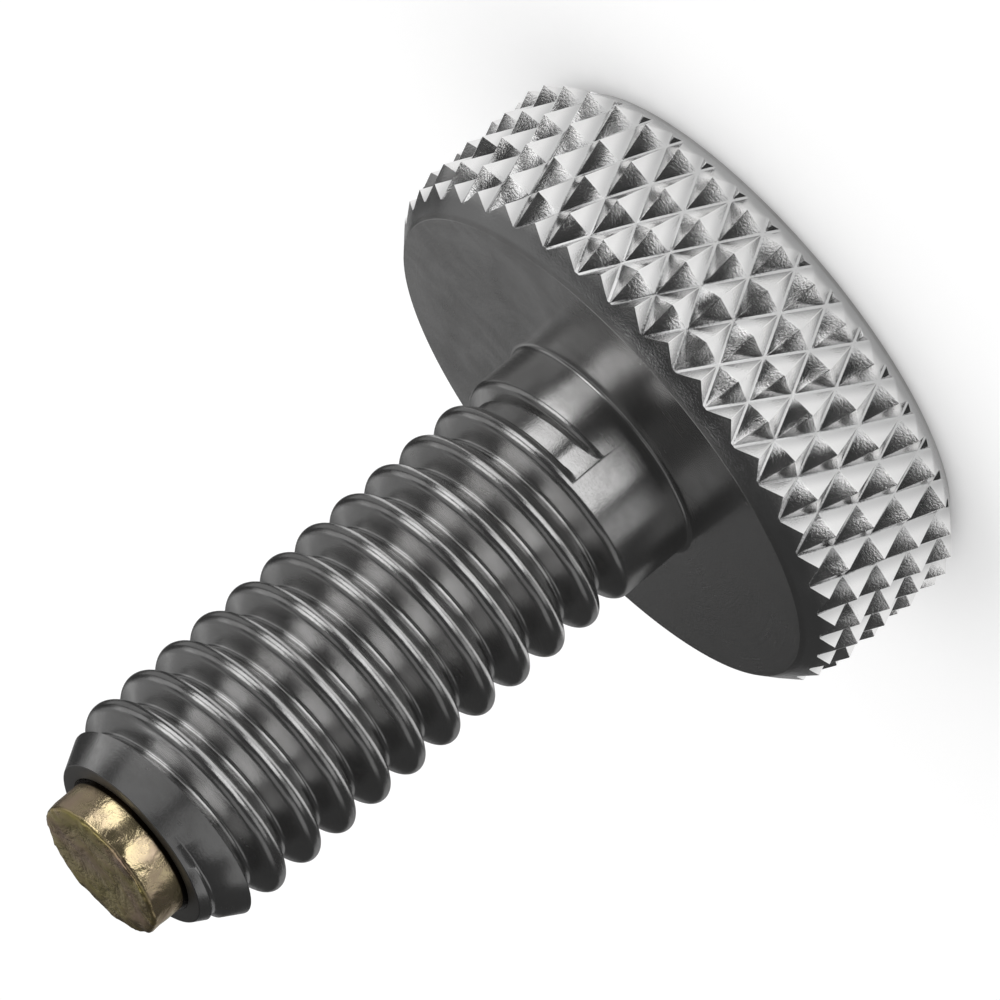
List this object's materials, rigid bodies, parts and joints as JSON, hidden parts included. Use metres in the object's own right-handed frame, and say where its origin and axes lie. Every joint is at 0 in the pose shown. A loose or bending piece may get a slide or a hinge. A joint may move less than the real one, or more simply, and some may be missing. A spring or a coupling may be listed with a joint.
{
  "type": "knurled thumb screw with brass tip",
  "caption": "Machine screw with a diamond-knurled round head for turning by hand, a right-hand thread and a brass plug in its end that clamps without marring.",
  "frame": {"origin": "centre of the flat top face of the head, which the screw stands on", "axes": "+Z along the screw's axis, from the head to the brass tip; the thread's groove ends at the neck on the -Y side"},
  "size_m": [0.019, 0.019, 0.0266],
  "materials": {
    "steel": "turned and knurled plain steel, semi-gloss, darkened in the grooves",
    "brass": "faced brass, slightly tarnished"
  },
  "bodies": {
    "root": {"screw_body": "steel", "brass_tip": "brass"}
  },
  "joints": []
}
